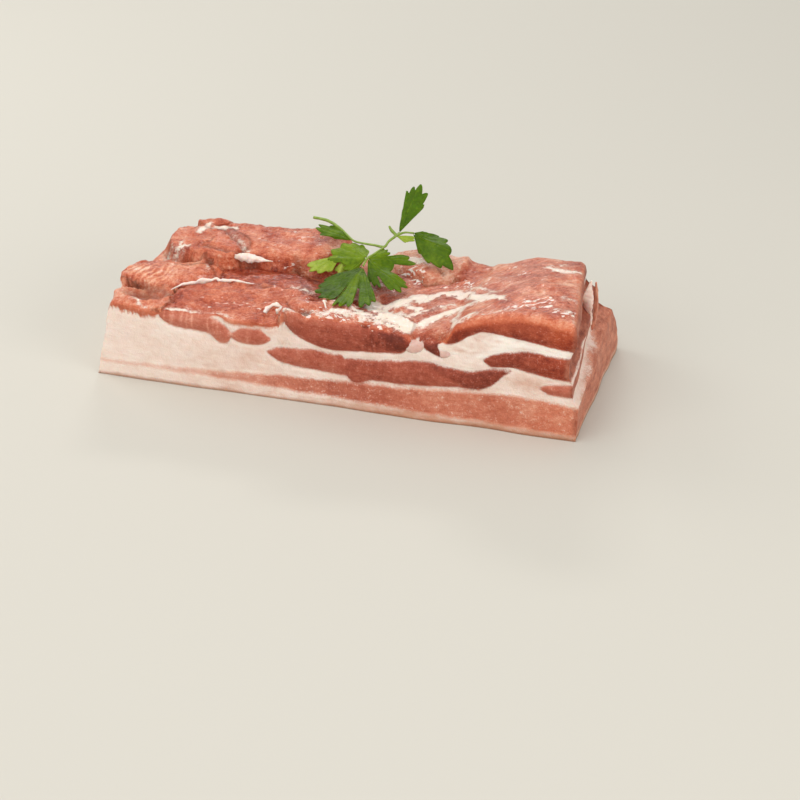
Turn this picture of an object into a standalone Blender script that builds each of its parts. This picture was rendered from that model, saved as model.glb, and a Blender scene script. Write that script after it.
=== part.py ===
"""A slab of raw pork belly, skin side down, with a sprig of flat-leaf parsley lying on it.

X runs along the slab, from the thick fat at its left end to the lean at its right end. The cut face
is at -Y, the back at +Y, and the skin lies on z = 0. All sizes are in millimetres until a mesh is
written, in metres.
"""

import math
from collections import namedtuple

import bpy
import numpy as np

MM = 0.001

# The slab as a block: its ends, its cut front face and its back.
LEFT_FOOT = -122.7  # the left end where it meets the skin
RIGHT_FOOT = 118.7  # the right end there, at the cut face
HALF_DEPTH = 47.0
LEFT_SLANT = 9.0  # how far the left end leans in by the top of the fat
LEFT_FLAP_OUT = 5.0  # the loose flap that hangs out over the left end
LEFT_BACK_IN = 7.0  # the back left corner stands in
RIGHT_FLARE = 4.0  # the skin side spreads to the right towards the back
END_SLANT = 4.3  # the lowest lean layer's end leans in by its top, at the back
FAT_LEDGE = 2.5  # the fat stands in from the lowest lean layer
FAT_LEDGE_BACK = 8.5  # and further in towards the back, the slant among it
LEAN_LEDGE = 2.5  # the lean stands in from the fat
LEAN_LEDGE_BACK = 3.5
TOP_MUSCLE_OUT = 3.0  # the top muscle swells out again at the front right corner
LOW_LEAN_TOP = 20.0  # height of the lowest lean layer at the right end
LOW_LEAN_RISE = 4.0  # it is this much thicker at the back
FAT_TOP = 31.0  # height of the fat above it
FAT_TOP_RISE = 5.0  # and this much higher at the back
BACK_LEAN_IN = 5.0  # the back face leans in by its top
FRONT_ROUND = 2.0  # radius of the top edge along the cut face
SOFT_EDGE_ROUND = 4.6  # and from the middle on, where muscle is cut
SOFT_EDGE_START, SOFT_EDGE_FULL = -8.0, 4.0  # x where it grows rounder
BACK_ROUND = 9.0
LEFT_ROUND = 3.5
RIGHT_ROUND = 4.0

# The top of the slab is a bed of fat with muscles and flaps of meat swelling out of it.
BED_HEIGHT = 39.0
BLEND, BLEND_RIGHT = 1.2, 2.6  # how softly neighbouring muscles run together, left and right
BLEND_TURNS, BLEND_TURNED = 5.0, 50.0  # x where the one goes over to the other
CLIFF_START = 0.84  # where a muscle's edge starts to fall, as a share of its half width
CLIFF_END = 1.10
BOXINESS = 2.6  # 2 makes a muscle's outline an ellipse, and more makes it squarer

Muscle = namedtuple("Muscle", "x y half_x half_y turn top rise_x rise_y crown cliff")
# x, y is the centre; turn is in degrees; the rises are slopes to the right and to the back. The crown
# is how much lower the surface lies at the muscle's edge than at its middle, before its edge falls
# away by the cliff.
MUSCLES = [
    Muscle(-53, -36, 38, 18, 6, 44.0, 0.02, 0.26, 1, 16),  # front flap, tipped up at its back edge
    Muscle(-100, -38, 18, 13, 20, 43.5, 0.00, 0.05, 2, 16),  # muscle in the front left corner
    Muscle(-93, -13, 28, 14, 5, 45.5, -0.02, 0.03, 2, 16),  # ribbed flap over the left end
    Muscle(-41, -10, 34, 15, -4, 45.0, 0.00, -0.02, 3, 16),  # dark muscle below the back flap
    Muscle(-51, 25, 42, 22, 3, 52.5, 0.03, 0.02, 3, 16),  # large back flap
    Muscle(-85, 16, 25, 15, -18, 51.0, 0.06, 0.02, 1, 16),  # long lobe behind the left end
    Muscle(-89, 38, 11, 8, 0, 52.5, 0.00, 0.00, 2, 12),  # loose piece on the back left corner
    Muscle(7, -6, 30, 24, 0, 43.5, 0.03, 0.00, 1, 16),  # low middle of the slab
    Muscle(27, 31, 22, 18, -6, 48.5, 0.00, 0.00, 4, 10),  # hump at the back
    Muscle(7, -41, 36, 12, -3, 48.5, -0.07, 0.05, 1, 16),  # muscle along the cut face
    Muscle(51, -18, 32, 28, 12, 49.0, 0.16, 0.02, 2, 16),  # slope up to the right
    Muscle(96, -12, 40, 120, 0, 60.0, 0.00, -0.12, 12, 6),  # top muscle, highest at the cut face
    Muscle(54, 32, 20, 16, 0, 43.5, 0.00, 0.00, 1, 16),  # saddle between hump and top muscle
]

# How many faces the slab's mesh has along its length, depth and height.
FACES_LONG = 64
FACES_DEEP = 26
FACES_HIGH = 10
EDGE_CROWDING = 0.35  # 0 spaces the faces evenly, 1 crowds them towards the edges

# The parsley: leaf blades as lobed fans, and the stems that carry them.
BLADE = 0.9  # thickness of a leaf
CLEARANCE = 1.3  # least height of a leaf over the meat
LEAF_START = 0.8  # a fan starts this far out along its own length
LEAF_ROWS = 3
FACES_PER_LOBE = 6
MARGIN_FALL = 0.30  # the outer lobes are this much shorter than the middle one
LEAF_FOLD = 0.10  # slope of each half down from the midrib
STEM_SIDES = 6
STEM_STEP = 4.0  # length of a stem's faces

Leaf = namedtuple("Leaf", "base tip up spread lobes notch droop")
# base and tip are places; up is the blade's upper side; spread is half the fan's angle in degrees;
# the notches cut that share into the blade; droop is how far the tip hangs below a straight line.
LEAVES = {
    "back_left": Leaf((-11.2, 22, 57), (-31, 31, 58.5), (0.1, -0.5, 1.0), 30, 3, 0.20, 1.5),
    "left": Leaf((0.5, 7.8, 55.3), (-28, 3, 51), (0.0, -0.2, 1.0), 46, 5, 0.24, 1.5),
    "front": Leaf((0.5, 7, 55), (-3, -33, 49.5), (0.0, -0.1, 1.0), 44, 3, 0.36, 1.0),
    "right": Leaf((1, 7.8, 55.4), (26, 2, 50.5), (0.0, -0.2, 1.0), 58, 5, 0.40, 1.5),
    "high": Leaf((12.2, 27, 61), (21.5, 37, 83), (-0.5, -1.0, 0.2), 22, 3, 0.20, -1.0),
    "far_right": Leaf((19, 24, 60.5), (42, 20, 51), (0.2, -0.4, 1.0), 38, 5, 0.16, 1.5),
}
Stem = namedtuple("Stem", "points radius tip_radius")
STEMS = [
    Stem([(-34, 33, 61), (-22, 33, 59), (-11, 21.5, 57), (7.5, 17, 57), (12.5, 28, 61.5)], 0.9, 0.8),
    Stem([(7.5, 17.5, 57), (4.5, 13, 56.5), (0.5, 7, 55.3)], 0.9, 1.0),
    Stem([(6, 31, 63), (12, 27.5, 61.2), (21, 23.5, 60.5)], 0.7, 0.8),
]


def step(value, start, end):
    """0 below start, 1 above end, and a smooth rise between."""
    share = np.clip((value - start) / (end - start), 0.0, 1.0)
    return share * share * (3.0 - 2.0 * share)


def swell(value, middle, width):
    return np.exp(-(((value - middle) / width) ** 2))


def across(start, end, share):
    return start + (end - start) * share


def left_end(back, z):
    """X of the left end. back is 0 at the cut face and 1 at the back of the slab."""
    slant = LEFT_SLANT * np.minimum(z / BED_HEIGHT, 1.0)
    flap = LEFT_FLAP_OUT * swell(back, 0.34, 0.22) * step(z, 24.0, 42.0)
    corner = LEFT_BACK_IN * step(back, 0.45, 0.62) * step(z, 34.0, 45.0)
    return LEFT_FOOT + slant - flap + corner


def right_end(back, z):
    """X of the right end, which stands in from layer to layer like low steps."""
    skin_side = RIGHT_FOOT + RIGHT_FLARE * back
    fat_foot = LOW_LEAN_TOP + LOW_LEAN_RISE * back
    lean_foot = FAT_TOP + FAT_TOP_RISE * back
    slant = END_SLANT * back**2
    fat = (FAT_LEDGE + FAT_LEDGE_BACK * back - slant) * step(z, fat_foot - 1.5, fat_foot + 2.0)
    lean = (LEAN_LEDGE + LEAN_LEDGE_BACK * back) * step(z, lean_foot - 1.5, lean_foot + 3.0)
    top_muscle = TOP_MUSCLE_OUT * (1.0 - back) * step(z, 43.0, 52.0)
    return skin_side - slant * np.minimum(z / fat_foot, 1.0) ** 2 - fat - lean + top_muscle


def back_face(z):
    return HALF_DEPTH - BACK_LEAN_IN * step(z, 10.0, 45.0)


def muscle_height(muscle, x, y):
    """Height of one muscle's own dome over the place x, y."""
    turn = math.radians(muscle.turn)
    dx = x - muscle.x
    dy = y - muscle.y
    along = (dx * math.cos(turn) + dy * math.sin(turn)) / muscle.half_x
    beside = (dy * math.cos(turn) - dx * math.sin(turn)) / muscle.half_y
    out = (np.abs(along) ** BOXINESS + np.abs(beside) ** BOXINESS) ** (1 / BOXINESS)
    slope = muscle.rise_x * dx + muscle.rise_y * dy
    edge = muscle.cliff * step(out, CLIFF_START, CLIFF_END)
    return muscle.top + slope - muscle.crown * out**2 - edge


def top_height(x, y):
    """Height of the slab's top: the highest muscle at each place, run softly into the next."""
    heights = np.array([muscle_height(muscle, x, y) for muscle in MUSCLES] + [BED_HEIGHT + 0.0 * x])
    highest = heights.max(axis=0)
    blend = across(BLEND, BLEND_RIGHT, step(x, BLEND_TURNS, BLEND_TURNED))
    return highest + blend * np.log(np.exp((heights - highest) / blend).sum(axis=0))


def edge_drop(distance, radius):
    """How far a rounded edge lies below the flat top at a distance in from the wall."""
    inside = np.clip(1.0 - distance / radius, 0.0, 1.0)
    return radius * (1.0 - np.sqrt(1.0 - inside**2))


def slab_point(u, v, w):
    """Place on the slab for shares of its length, depth and height, each from 0 to 1."""
    z = np.full_like(u, BED_HEIGHT)
    for _ in range(3):
        y = across(-HALF_DEPTH, back_face(z), v)
        left = left_end(v, z)
        right = right_end(v, z)
        x = across(left, right, u)
        z = top_height(x, y)
    front_round = across(FRONT_ROUND, SOFT_EDGE_ROUND, step(x, SOFT_EDGE_START, SOFT_EDGE_FULL))
    drops = [
        edge_drop(x - left, LEFT_ROUND),
        edge_drop(right - x, RIGHT_ROUND),
        edge_drop(y + HALF_DEPTH, front_round),
        edge_drop(back_face(z) - y, BACK_ROUND),
    ]
    z = w * (z - np.sqrt(sum(drop**2 for drop in drops)))
    x = across(left_end(v, z), right_end(v, z), u)
    return np.stack([x, across(-HALF_DEPTH, back_face(z), v), z], axis=-1)


def crowded(count):
    """count + 1 shares from 0 to 1, closer together towards both ends."""
    even = np.linspace(0.0, 1.0, count + 1)
    return across(even, 0.5 - 0.5 * np.cos(math.pi * even), EDGE_CROWDING)


def slab_mesh():
    """Vertices and faces of the slab: a box of faces with its shares run through slab_point."""
    counts = (FACES_LONG, FACES_DEEP, FACES_HIGH)
    shares = (crowded(FACES_LONG), crowded(FACES_DEEP), np.linspace(0.0, 1.0, FACES_HIGH + 1))
    index = {}

    def corner(*steps):
        return index.setdefault(steps, len(index))

    faces = []
    for axis in range(3):
        first, second = (axis + 1) % 3, (axis + 2) % 3
        for side in (0, counts[axis]):
            if axis == 2 and side == 0:
                continue
            for i in range(counts[first]):
                for j in range(counts[second]):
                    ring = []
                    for di, dj in ((0, 0), (1, 0), (1, 1), (0, 1)):
                        steps = [0, 0, 0]
                        steps[axis], steps[first], steps[second] = side, i + di, j + dj
                        ring.append(corner(*steps))
                    faces.append(ring if side else ring[::-1])
    rim = [(i, 0) for i in range(FACES_LONG)] + [(FACES_LONG, j) for j in range(FACES_DEEP)]
    rim += [(i, FACES_DEEP) for i in range(FACES_LONG, 0, -1)] + [(0, j) for j in range(FACES_DEEP, 0, -1)]
    faces.append([corner(i, j, 0) for i, j in reversed(rim)])
    steps = np.array(list(index))
    points = slab_point(*(shares[axis][steps[:, axis]] for axis in range(3)))
    return points, faces


def unit(vector):
    vector = np.asarray(vector, float)
    return vector / np.linalg.norm(vector)


def leaf_reach(angle, leaf):
    """How far the leaf's margin lies along a ray at this angle, in degrees, as a share of its length."""
    share = angle / leaf.spread
    into_notch = np.abs(np.sin(math.pi / 2 * leaf.lobes * share)) ** 4
    return (1.0 - MARGIN_FALL * share**2) * (1.0 - leaf.notch * into_notch)


def leaf_mesh(leaf):
    """A closed blade: a fan of faces on its upper side, the same below, and a rim."""
    base = np.array(leaf.base, float)
    reach = np.array(leaf.tip, float) - base
    length = np.linalg.norm(reach)
    ahead = unit(reach)
    side = unit(np.cross(leaf.up, ahead))
    up = np.cross(ahead, side)
    angles = np.linspace(-leaf.spread, leaf.spread, FACES_PER_LOBE * leaf.lobes + 1)
    shares = np.linspace(LEAF_START / length, 1.0, LEAF_ROWS + 1)
    angle, share = np.meshgrid(angles, shares, indexing="ij")
    out = share * leaf_reach(angle, leaf) * length
    ray = np.radians(angle)
    a, b = out * np.cos(ray), out * np.sin(ray)
    sag = -leaf.droop * share**2 - LEAF_FOLD * np.abs(b)
    middle = base + a[..., None] * ahead + b[..., None] * side + sag[..., None] * up
    lowest = top_height(middle[..., 0], middle[..., 1]) + CLEARANCE
    middle[..., 2] = np.maximum(middle[..., 2], lowest)
    points = np.concatenate([middle + up * BLADE / 2, middle - up * BLADE / 2]).reshape(-1, 3)
    columns, rows = angle.shape

    def corner(i, j, below):
        return (i + columns * below) * rows + j

    faces = []
    for i in range(columns - 1):
        for j in range(rows - 1):
            ring = ((i, j), (i, j + 1), (i + 1, j + 1), (i + 1, j))
            faces.append([corner(*at, 0) for at in reversed(ring)])
            faces.append([corner(*at, 1) for at in ring])
    rim = [(0, j) for j in range(rows - 1)] + [(i, rows - 1) for i in range(columns - 1)]
    rim += [(columns - 1, j) for j in range(rows - 1, 0, -1)] + [(i, 0) for i in range(columns - 1, 0, -1)]
    for here, after in zip(rim, rim[1:] + rim[:1]):
        faces.append([corner(*here, 0), corner(*after, 0), corner(*after, 1), corner(*here, 1)])
    return points, [face[::-1] for face in faces]


def smooth_route(points):
    """Points along a smooth curve through the given ones, about STEM_STEP apart."""
    points = np.array(points, float)
    padded = np.concatenate([2 * points[:1] - points[1:2], points, 2 * points[-1:] - points[-2:-1]])
    route = []
    for before, start, end, after in zip(padded, padded[1:], padded[2:], padded[3:]):
        count = max(1, round(np.linalg.norm(end - start) / STEM_STEP))
        for t in np.arange(count) / count:
            route.append(
                0.5 * (2 * start + (end - before) * t + (2 * before - 5 * start + 4 * end - after) * t**2
                       + (3 * start - before - 3 * end + after) * t**3)
            )
    return np.array(route + [points[-1]])


def stem_mesh(stem):
    """A closed tube along the stem's route, with flat ends."""
    route = smooth_route(stem.points)
    heading = np.gradient(route, axis=0)
    points = []
    for at, ahead, radius in zip(route, heading, np.linspace(stem.radius, stem.tip_radius, len(route))):
        side = unit(np.cross(ahead, (0.13, 0.21, 1.0)))
        other = unit(np.cross(side, ahead))
        for turn in np.arange(STEM_SIDES) * 2 * math.pi / STEM_SIDES:
            points.append(at + radius * (math.cos(turn) * side + math.sin(turn) * other))
    faces = [list(range(STEM_SIDES))]
    for ring in range(len(route) - 1):
        for k in range(STEM_SIDES):
            start, after = ring * STEM_SIDES + k, ring * STEM_SIDES + (k + 1) % STEM_SIDES
            faces.append([start, start + STEM_SIDES, after + STEM_SIDES, after])
    last = (len(route) - 1) * STEM_SIDES
    faces.append([last + k for k in reversed(range(STEM_SIDES))])
    return np.array(points), faces


def new_object(name, points, faces):
    mesh = bpy.data.meshes.new(name)
    mesh.from_pydata((points * MM).tolist(), [], faces)
    mesh.validate()
    mesh.shade_smooth()
    mesh.set_sharp_from_angle(angle=math.radians(40))
    made = bpy.data.objects.new(name, mesh)
    bpy.context.scene.collection.objects.link(made)
    return made


def material(name, colour, roughness):
    made = bpy.data.materials.new(name)
    made.use_nodes = True
    shader = made.node_tree.nodes["Principled BSDF"]
    shader.inputs["Base Color"].default_value = (*colour, 1.0)
    shader.inputs["Roughness"].default_value = roughness
    shader.inputs["Metallic"].default_value = 0.0
    return made


def add_slab():
    slab = new_object("pork_belly_slab", *slab_mesh())
    slab.data.materials.append(material("pork_belly", (0.56, 0.27, 0.18), 0.38))


def add_parsley():
    """One sprig: the first stem joined by a Boolean union to every other stem and leaf."""
    sprig = new_object("parsley_sprig", *stem_mesh(STEMS[0]))
    sprig.data.materials.append(material("parsley", (0.10, 0.17, 0.01), 0.5))
    others = [(f"stem_{number}", stem_mesh(stem)) for number, stem in enumerate(STEMS[1:], 1)]
    others += [(f"leaf_{name}", leaf_mesh(leaf)) for name, leaf in LEAVES.items()]
    for name, shape in others:
        helper = new_object(name, *shape)
        helper.hide_render = True
        helper.display_type = "WIRE"
        joined = sprig.modifiers.new(name, "BOOLEAN")
        joined.operation = "UNION"
        joined.solver = "EXACT"
        joined.object = helper


def main():
    for old in list(bpy.data.objects):
        bpy.data.objects.remove(old, do_unlink=True)
    add_slab()
    add_parsley()


main()
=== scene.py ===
"""The looks of a raw pork belly slab with a sprig of parsley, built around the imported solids.

The slab's surface is one closed mesh. Functions give the height of its top and the relief of its
sides, and others give every point its share of lean and fat, its tone and its wetness, which the
meat's material reads as attributes. Torn films, shreds and the parsley are pieces of their own.
Sizes are in millimetres until a mesh is written, in metres.
"""

import itertools
import math
from collections import namedtuple

import bpy
import numpy as np
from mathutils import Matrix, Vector


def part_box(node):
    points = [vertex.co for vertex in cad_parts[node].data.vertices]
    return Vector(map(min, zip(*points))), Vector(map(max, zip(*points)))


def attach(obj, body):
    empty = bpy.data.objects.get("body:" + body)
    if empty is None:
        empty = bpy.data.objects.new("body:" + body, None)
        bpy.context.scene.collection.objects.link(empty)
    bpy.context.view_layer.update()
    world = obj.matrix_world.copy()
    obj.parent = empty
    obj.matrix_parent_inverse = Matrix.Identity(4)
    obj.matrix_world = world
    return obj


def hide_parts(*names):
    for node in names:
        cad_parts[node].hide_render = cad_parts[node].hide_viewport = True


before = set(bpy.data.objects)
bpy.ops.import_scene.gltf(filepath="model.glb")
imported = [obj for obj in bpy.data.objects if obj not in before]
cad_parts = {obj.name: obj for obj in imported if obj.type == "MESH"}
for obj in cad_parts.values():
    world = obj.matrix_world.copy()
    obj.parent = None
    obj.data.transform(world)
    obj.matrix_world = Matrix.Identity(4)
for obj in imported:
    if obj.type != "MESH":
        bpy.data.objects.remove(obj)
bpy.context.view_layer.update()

MM = 0.001

# ---- the block, as the solids have it

low, high = (np.array(corner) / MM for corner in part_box("pork_belly_slab"))
LEFT_FOOT = low[0]
HALF_DEPTH = high[1]
RIGHT_FLARE = 4.0  # the skin side spreads to the right towards the back
RIGHT_FOOT = high[0] - RIGHT_FLARE
LEFT_SLANT = 9.0
LEFT_FLAP_OUT = 5.0
LEFT_BACK_IN = 7.0
END_SLANT = 4.3  # the lowest lean layer's end leans in by its top, at the back
FAT_LEDGE, FAT_LEDGE_BACK = 2.5, 8.5
LEAN_LEDGE, LEAN_LEDGE_BACK = 2.5, 3.5
TOP_MUSCLE_OUT = 3.0
LOW_LEAN_TOP = 20.0
LOW_LEAN_RISE = 4.0  # the lowest lean layer is this much thicker at the back
FAT_TOP = 31.0
FAT_TOP_RISE = 5.0  # and the fat above it ends this much higher at the back
BACK_LEAN_IN = 5.0
FRONT_ROUND, BACK_ROUND, LEFT_ROUND, RIGHT_ROUND = 1.6, 9.0, 3.5, 4.0
SOFT_EDGE_ROUND = 4.6  # the front edge is rounder from the middle on, where muscle is cut
SOFT_EDGE_START, SOFT_EDGE_FULL = -8.0, 4.0

FACE_SWELL, FACE_GROOVE = 1.3, 0.7
FACE_TOP_IN = 2.0  # the top over the cut face is measured this far in
BED_HEIGHT = 39.0
BLEND, BLEND_RIGHT = 0.9, 2.6  # how softly neighbouring muscles run together, and on the right
CLIFF_START, CLIFF_END = 0.88, 1.06
BOXINESS = 2.6

Muscle = namedtuple("Muscle", "x y half_x half_y turn top rise_x rise_y crown cliff tone fibre")
# The shape is as in the solid; tone runs from 0, dark red, to 1, pale pink, and fibre is the
# direction of the muscle's grain in degrees.
MUSCLES = [
    Muscle(-53, -36, 38, 18, 6, 44.0, 0.02, 0.26, 1, 16, 0.52, 10),  # front flap
    Muscle(-100, -38, 18, 13, 20, 43.5, 0.00, 0.05, 2, 16, 0.70, 80),  # front left corner
    Muscle(-93, -13, 28, 14, 5, 45.5, -0.02, 0.03, 2, 16, 0.60, 75),  # ribbed flap
    Muscle(-41, -10, 34, 15, -4, 45.0, 0.00, -0.02, 3, 16, 0.38, 20),  # below the back flap
    Muscle(-51, 25, 42, 22, 3, 52.5, 0.03, 0.02, 3, 16, 0.60, 15),  # large back flap
    Muscle(-85, 16, 25, 15, -18, 51.0, 0.06, 0.02, 1, 16, 0.60, -10),  # long lobe behind the left end
    Muscle(-89, 38, 11, 8, 0, 52.5, 0.00, 0.00, 2, 12, 0.50, 0),  # loose piece at the back
    Muscle(7, -6, 30, 24, 0, 43.5, 0.03, 0.00, 1, 16, 0.45, 35),  # low middle
    Muscle(27, 31, 22, 18, -6, 48.5, 0.00, 0.00, 4, 10, 0.80, 35),  # hump at the back
    Muscle(7, -41, 36, 12, -3, 48.5, -0.07, 0.05, 1, 16, 0.55, 10),  # along the cut face
    Muscle(51, -18, 32, 28, 12, 49.0, 0.16, 0.02, 2, 16, 0.62, 38),  # slope up to the right
    Muscle(96, -12, 40, 120, 0, 60.0, 0.00, -0.12, 12, 6, 0.64, 48),  # top muscle
    Muscle(54, 32, 20, 16, 0, 43.5, 0.00, 0.00, 1, 16, 0.62, 38),  # saddle
]


def step(value, start, end):
    """0 below start, 1 above end, and a smooth rise between."""
    share = np.clip((value - start) / (end - start), 0.0, 1.0)
    return share * share * (3.0 - 2.0 * share)


def swell(value, middle, width):
    return np.exp(-(((value - middle) / width) ** 2))


def across(start, end, share):
    return start + (end - start) * share


def unit(vector):
    vector = np.asarray(vector, float)
    return vector / np.linalg.norm(vector)


def lattice_value(corner, seed):
    """A repeatable random number from -1 to 1 for each whole-numbered place."""
    mixed = (corner[..., 0] * 374761393 + corner[..., 1] * 668265263 + corner[..., 2] * 974634777
             + seed * 1442695041) & 0xFFFFFFFF
    mixed = ((mixed ^ (mixed >> 13)) * 1274126177) & 0xFFFFFFFF
    mixed = ((mixed ^ (mixed >> 16)) * 2246822519) & 0xFFFFFFFF
    return (mixed ^ (mixed >> 15)) / 2147483647.5 - 1.0


OCTAVE_SHARE = 0.55  # each finer layer of noise counts this much of the one before it
OCTAVE_SHIFT = 17.3


def noise(x, y, z, size, seed, octaves=3):
    """Smooth noise from about -1 to 1, with lumps of the given size in mm."""
    total = 0.0
    for octave in range(octaves):
        place = np.stack(np.broadcast_arrays(x, y, z), axis=-1) * 2.0**octave / size + OCTAVE_SHIFT * octave
        cell = np.floor(place).astype(np.int64)
        inside = place - cell
        inside = inside * inside * (3.0 - 2.0 * inside)
        value = 0.0
        for corner in itertools.product((0, 1), repeat=3):
            weight = np.prod(np.where(np.array(corner), inside, 1.0 - inside), axis=-1)
            value = value + weight * lattice_value(cell + np.array(corner), seed + octave)
        total = total + value * OCTAVE_SHARE**octave
    return total


def left_end(back, z):
    slant = LEFT_SLANT * np.minimum(z / BED_HEIGHT, 1.0)
    flap = LEFT_FLAP_OUT * swell(back, 0.34, 0.22) * step(z, 24.0, 42.0)
    corner = LEFT_BACK_IN * step(back, 0.45, 0.62) * step(z, 34.0, 45.0)
    return LEFT_FOOT + slant - flap + corner


def right_end(back, z):
    skin_side = RIGHT_FOOT + RIGHT_FLARE * back
    fat_foot = LOW_LEAN_TOP + LOW_LEAN_RISE * back
    lean_foot = FAT_TOP + FAT_TOP_RISE * back
    slant = END_SLANT * back**2
    fat = (FAT_LEDGE + FAT_LEDGE_BACK * back - slant) * step(z, fat_foot - 1.5, fat_foot + 2.0)
    lean = (LEAN_LEDGE + LEAN_LEDGE_BACK * back) * step(z, lean_foot - 1.5, lean_foot + 3.0)
    top_muscle = TOP_MUSCLE_OUT * (1.0 - back) * step(z, 43.0, 52.0)
    return skin_side - slant * np.minimum(z / fat_foot, 1.0) ** 2 - fat - lean + top_muscle


def front_face(x, z):
    """Y of the cut face: lean swells out of it and the fat between stands back a little."""
    depths = np.array([layer_depth(layer, x, z) for layer in LAYERS[1:]]).max(axis=0)
    lens = FACE_SWELL * step(depths, -1.0, 5.0) - FACE_GROOVE * swell(depths, -0.3, 0.9)
    return -HALF_DEPTH - lens + 0.5 * noise(x, 0.0, z, 24.0, 13, 2)


def end_relief(y, z, seed):
    return 0.5 * noise(0.0, y, z, 14.0, seed) + 0.22 * noise(0.0, y / 5.0, z, 2.2, seed + 40, 2)


def back_relief(x, z):
    return 0.9 * noise(x, 0.0, z, 20.0, 16)


def back_face(z):
    return HALF_DEPTH - BACK_LEAN_IN * step(z, 10.0, 45.0)


def muscle_heights(x, y):
    """Height of every muscle's own dome over the places x, y, with the bed's last."""
    x, y = x + 1.6 * noise(x, y, 0.0, 11.0, 18), y + 1.6 * noise(x, y, 0.0, 11.0, 19)
    heights = []
    for muscle in MUSCLES:
        turn = math.radians(muscle.turn)
        dx = x - muscle.x
        dy = y - muscle.y
        along = (dx * math.cos(turn) + dy * math.sin(turn)) / muscle.half_x
        beside = (dy * math.cos(turn) - dx * math.sin(turn)) / muscle.half_y
        out = (np.abs(along) ** BOXINESS + np.abs(beside) ** BOXINESS) ** (1 / BOXINESS)
        edge = muscle.cliff * step(out, CLIFF_START, CLIFF_END)
        slope = muscle.rise_x * dx + muscle.rise_y * dy
        heights.append(muscle.top + slope - muscle.crown * out**2 - edge)
    return np.array(heights + [BED_HEIGHT + 0.0 * x])


def top_height(x, y):
    heights = muscle_heights(x, y)
    highest = heights.max(axis=0)
    blend = across(BLEND, BLEND_RIGHT, step(x, 5.0, 50.0))
    return highest + blend * np.log(np.exp((heights - highest) / blend).sum(axis=0))


# ---- lean and fat on the cut face and ends


def curve(x, points):
    """A smooth curve through the points (x, height), level beyond its first and last."""
    at, height = np.array(points, float).T
    slope = np.gradient(height, at)
    x = np.clip(x, at[0], at[-1])
    piece = np.clip(np.searchsorted(at, x, side="right") - 1, 0, len(at) - 2)
    width = at[piece + 1] - at[piece]
    t = (x - at[piece]) / width
    ease = t * t * (3.0 - 2.0 * t)
    bend = t * (1.0 - t) * width * ((1.0 - t) * slope[piece] - t * slope[piece + 1])
    return across(height[piece], height[piece + 1], ease) + bend


OPEN = 90.0  # a height above the slab: the layer reaches the top
NO_WHITE = -5.0  # a depth in millimetres, far outside any white stroke
Layer = namedtuple("Layer", "name bottom top tone ragged")
# Each lean layer as it shows on the cut face, between two curves of points (x, z).
LAYERS = [
    Layer("lowest", [(-123, 7.8), (-90, 7.5), (-60, 7.0), (-40, 6.4), (-20, 5.8), (0, 5.3), (40, 4.4),
                     (80, 3.4), (125, 2.8)],
          [(-123, 9.0), (-90, 9.7), (-60, 11.2), (-40, 12.6), (-20, 13.8), (4, 14.6), (27, 15.7),
           (50, 17.4), (74, 19.9), (96, 20.1), (110, 19.4), (119, 18.0), (125, 17.6)], 0.60, 1.6),
    Layer("low_left", [(-33, 25), (-28, 21.5), (-20, 19.6), (-10, 18.9), (0, 18.4), (9, 17.9)],
          [(-33, 25.5), (-29, 28), (-20, 29.3), (-8, 29.8), (1, 29.0), (6, 27.4), (9, 18.6)], 0.46, 0.8),
    Layer("low_right", [(3.5, 25), (7, 18.0), (20, 17.4), (40, 18.2), (60, 20.4), (75, 22.4), (80, 26),
                        (83, 30), (87, 33.2)],
          [(3.5, 26.5), (9, 27.6), (20, 28.7), (40, 31.4), (46, 31.9), (56, 30.6), (68, 30), (77, 32.6),
           (87, 33.8)], 0.38, 0.8),
    Layer("small", [(-51, 31), (-48, 29), (-42, 28), (-36, 28.5), (-31, 31.5)],
          [(-51, 33), (-47, 36), (-40, 37.2), (-35, 36.5), (-31, 33)], 0.54, 0.5),
    Layer("ribbed", [(-89, 38), (-84, 34.2), (-76, 32.2), (-66, 31.8), (-61, 30.5), (-58, 27.6), (-55, 26.9),
                     (-52, 28.5), (-50.5, 32)],
          [(-89, 38.8), (-82, 40.5), (-70, 41.2), (-60, 40.2), (-54, 37), (-50.5, 33)], 0.52, 1.0),
    Layer("middle", [(-24, 44), (-21, 39.5), (-15, 35), (-8, 32.3), (2, 31.4), (15, 32.5), (27, 33.7),
                     (35, 35.4), (39, 39)],
          [(-24, 45), (-20, 60), (24, 60), (31, 46.6), (36, 44.6), (39, 41.5)], 0.34, 0.5),
    Layer("between_nodules", [(43, 41), (46, 38.6), (51, 36.2), (54, 35.4)],
          [(43, 43.2), (47, 43.8), (51, 42.2), (54, 36)], 0.16, 0.4),
    Layer("top", [(48, 45.2), (53, 43.6), (58, 43.6), (62, 45), (66, 47.9), (72, 51.2), (78, 51.4),
                  (86, 50.4), (95, 49.2), (106, 48.0), (125, 45.6)],
          [(48, 46), (54, 54), (60, 90), (125, OPEN)], 0.42, 0.4),
    Layer("right", [(73.5, 36), (77, 34), (82, 34.4), (87, 34.9), (96, 33.4), (107, 32), (125, 31.2)],
          [(73.5, 37), (77, 39.6), (82, 41.8), (91, 43.9), (101, 44.0), (125, 42.2)], 0.25, 0.6),
    Layer("low_end", [(100, 26), (104, 23.5), (110, 23.2), (125, 23.5)],
          [(100, 26.5), (104, 28.3), (110, 29.2), (125, 29.2)], 0.50, 0.5),
    Layer("flaps", [(-123, 40.2), (-113, 38.7), (-106, 37.7), (-97, 36.3), (-91, 36.2), (-82, 41.5),
                    (-66, 42.4), (-56, 41), (-52, 38.5), (-45, 38.0), (-38, 38.6), (-30, 39), (-22, 44)],
          [(-123, OPEN), (-22, OPEN)], 0.54, 1.7),
]


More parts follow.
